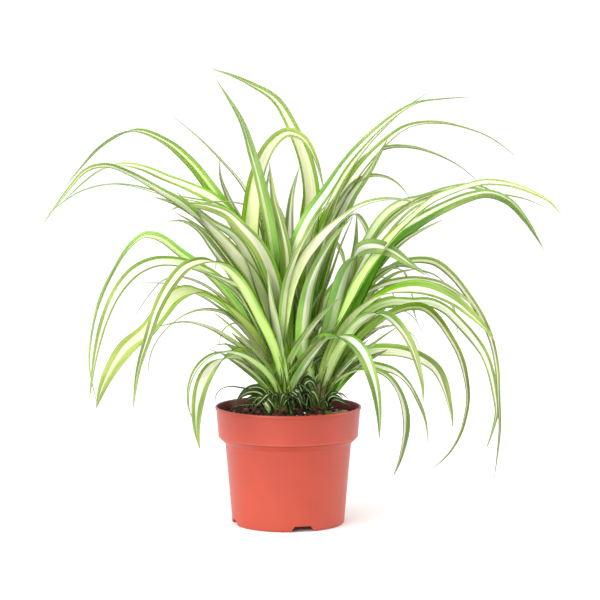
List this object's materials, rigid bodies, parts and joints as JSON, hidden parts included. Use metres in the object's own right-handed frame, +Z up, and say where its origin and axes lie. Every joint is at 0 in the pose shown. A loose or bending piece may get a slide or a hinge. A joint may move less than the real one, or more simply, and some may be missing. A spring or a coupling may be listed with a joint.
{
  "type": "potted spider plant",
  "caption": "Spider plant with long arching cream-striped leaves and small young plants, growing in soil in a tapered plastic nursery pot with a deep collar.",
  "frame": {"origin": "on the ground under the middle of the pot", "axes": "+Z up, the pictured side faces -Y, +X to that side's right"},
  "size_m": [0.4202, 0.299, 0.3725],
  "materials": {
    "pot_plastic": "satin terracotta-red moulded plastic",
    "soil": "moist dark potting soil with bark crumbs",
    "leaf": "smooth satin leaf, green margins and a cream stripe along the middle",
    "young_leaf": "smooth satin dark green leaf with a pale stripe"
  },
  "bodies": {
    "root": {"pot": "pot_plastic", "soil": "soil", "rosette_left": "leaf", "rosette_right": "leaf", "rosette_back": "leaf", "young_plant_far_left": "young_leaf", "young_plant_near_left": "young_leaf", "young_plant_front": "young_leaf", "young_plant_middle": "young_leaf", "young_plant_right": "young_leaf"}
  },
  "joints": []
}
